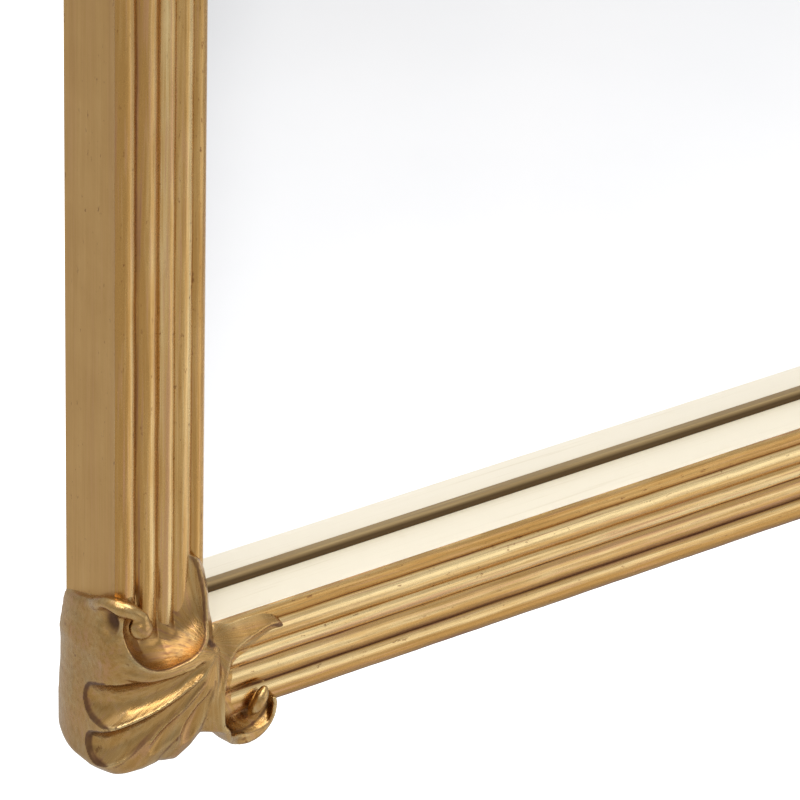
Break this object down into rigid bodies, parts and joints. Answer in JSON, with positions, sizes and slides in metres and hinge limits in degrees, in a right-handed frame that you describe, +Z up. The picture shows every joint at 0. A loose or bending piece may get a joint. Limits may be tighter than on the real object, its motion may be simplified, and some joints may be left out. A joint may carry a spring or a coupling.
{
  "type": "wall mirror",
  "caption": "Rectangular wall mirror in a mitred, reeded gilt frame with a carved rocaille shell on each corner, a board held by turn buttons and swinging hanger rings.",
  "frame": {"origin": "on the wall plane, at the middle of the mirror's width and height", "axes": "+X to the right as seen from the front, +Z up, +Y into the wall, so the mirror faces -Y"},
  "size_m": [0.8262, 0.0836, 1.1366],
  "materials": {
    "gold_leaf": "burnished gold leaf over red bole on carved wood, rubbed and crackled",
    "mirror": "silvered float glass",
    "felt": "grey felt sheet",
    "hardboard": "plain brown hardboard",
    "black_rubber": "matt black rubber",
    "screw_steel": "yellow zinc-plated steel",
    "plated_steel": "bright zinc-plated steel"
  },
  "bodies": {
    "frame": {"backing_board": "hardboard", "bottom_left_block": "black_rubber", "bottom_rail": "gold_leaf", "bottom_right_block": "black_rubber", "brace_screws": "screw_steel", "button_screws": "screw_steel", "cushion_sheet": "felt", "left_hanger_strap": "plated_steel", "left_lower_block": "black_rubber", "left_stile": "gold_leaf", "left_upper_block": "black_rubber", "lower_left_brace": "plated_steel", "lower_left_ornament": "gold_leaf", "lower_left_wall_pad": "black_rubber", "lower_right_brace": "plated_steel", "lower_right_ornament": "gold_leaf", "lower_right_wall_pad": "black_rubber", "mirror_glass": "mirror", "right_hanger_strap": "plated_steel", "right_lower_block": "black_rubber", "right_stile": "gold_leaf", "right_upper_block": "black_rubber", "strap_screws": "screw_steel", "top_left_block": "black_rubber", "top_rail": "gold_leaf", "top_right_block": "black_rubber", "upper_left_brace": "plated_steel", "upper_left_ornament": "gold_leaf", "upper_left_wall_pad": "black_rubber", "upper_right_brace": "plated_steel", "upper_right_ornament": "gold_leaf", "upper_right_wall_pad": "black_rubber"},
    "left_ring": {"left_hanger_ring": "plated_steel"},
    "right_ring": {"right_hanger_ring": "plated_steel"},
    "left_lower_button": {"left_lower_turn_button": "plated_steel"},
    "left_upper_button": {"left_upper_turn_button": "plated_steel"},
    "right_lower_button": {"right_lower_turn_button": "plated_steel"},
    "right_upper_button": {"right_upper_turn_button": "plated_steel"},
    "bottom_left_button": {"bottom_left_turn_button": "plated_steel"},
    "bottom_right_button": {"bottom_right_turn_button": "plated_steel"},
    "top_left_button": {"top_left_turn_button": "plated_steel"},
    "top_right_button": {"top_right_turn_button": "plated_steel"}
  },
  "joints": [
    {"name": "left_ring_swing", "type": "hinge", "parent": "frame", "child": "left_ring", "pos_m": [-0.371, -0.0046, 0.27], "axis": [1, 0, 0], "range_deg": [0, 180]},
    {"name": "right_ring_swing", "type": "hinge", "parent": "frame", "child": "right_ring", "pos_m": [0.371, -0.0046, 0.27], "axis": [1, 0, 0], "range_deg": [0, 180]},
    {"name": "left_lower_button_turn", "type": "hinge", "parent": "frame", "child": "left_lower_button", "pos_m": [-0.35, -0.00705, -0.34], "axis": [0, 1, 0], "range_deg": [-90, 90]},
    {"name": "left_upper_button_turn", "type": "hinge", "parent": "frame", "child": "left_upper_button", "pos_m": [-0.35, -0.00705, 0.34], "axis": [0, 1, 0], "range_deg": [-90, 90]},
    {"name": "right_lower_button_turn", "type": "hinge", "parent": "frame", "child": "right_lower_button", "pos_m": [0.35, -0.00705, -0.34], "axis": [0, 1, 0], "range_deg": [-90, 90]},
    {"name": "right_upper_button_turn", "type": "hinge", "parent": "frame", "child": "right_upper_button", "pos_m": [0.35, -0.00705, 0.34], "axis": [0, 1, 0], "range_deg": [-90, 90]},
    {"name": "bottom_left_button_turn", "type": "hinge", "parent": "frame", "child": "bottom_left_button", "pos_m": [-0.17, -0.00705, -0.5], "axis": [0, 1, 0], "range_deg": [-90, 90]},
    {"name": "bottom_right_button_turn", "type": "hinge", "parent": "frame", "child": "bottom_right_button", "pos_m": [0.17, -0.00705, -0.5], "axis": [0, 1, 0], "range_deg": [-90, 90]},
    {"name": "top_left_button_turn", "type": "hinge", "parent": "frame", "child": "top_left_button", "pos_m": [-0.17, -0.00705, 0.5], "axis": [0, 1, 0], "range_deg": [-90, 90]},
    {"name": "top_right_button_turn", "type": "hinge", "parent": "frame", "child": "top_right_button", "pos_m": [0.17, -0.00705, 0.5], "axis": [0, 1, 0], "range_deg": [-90, 90]}
  ]
}
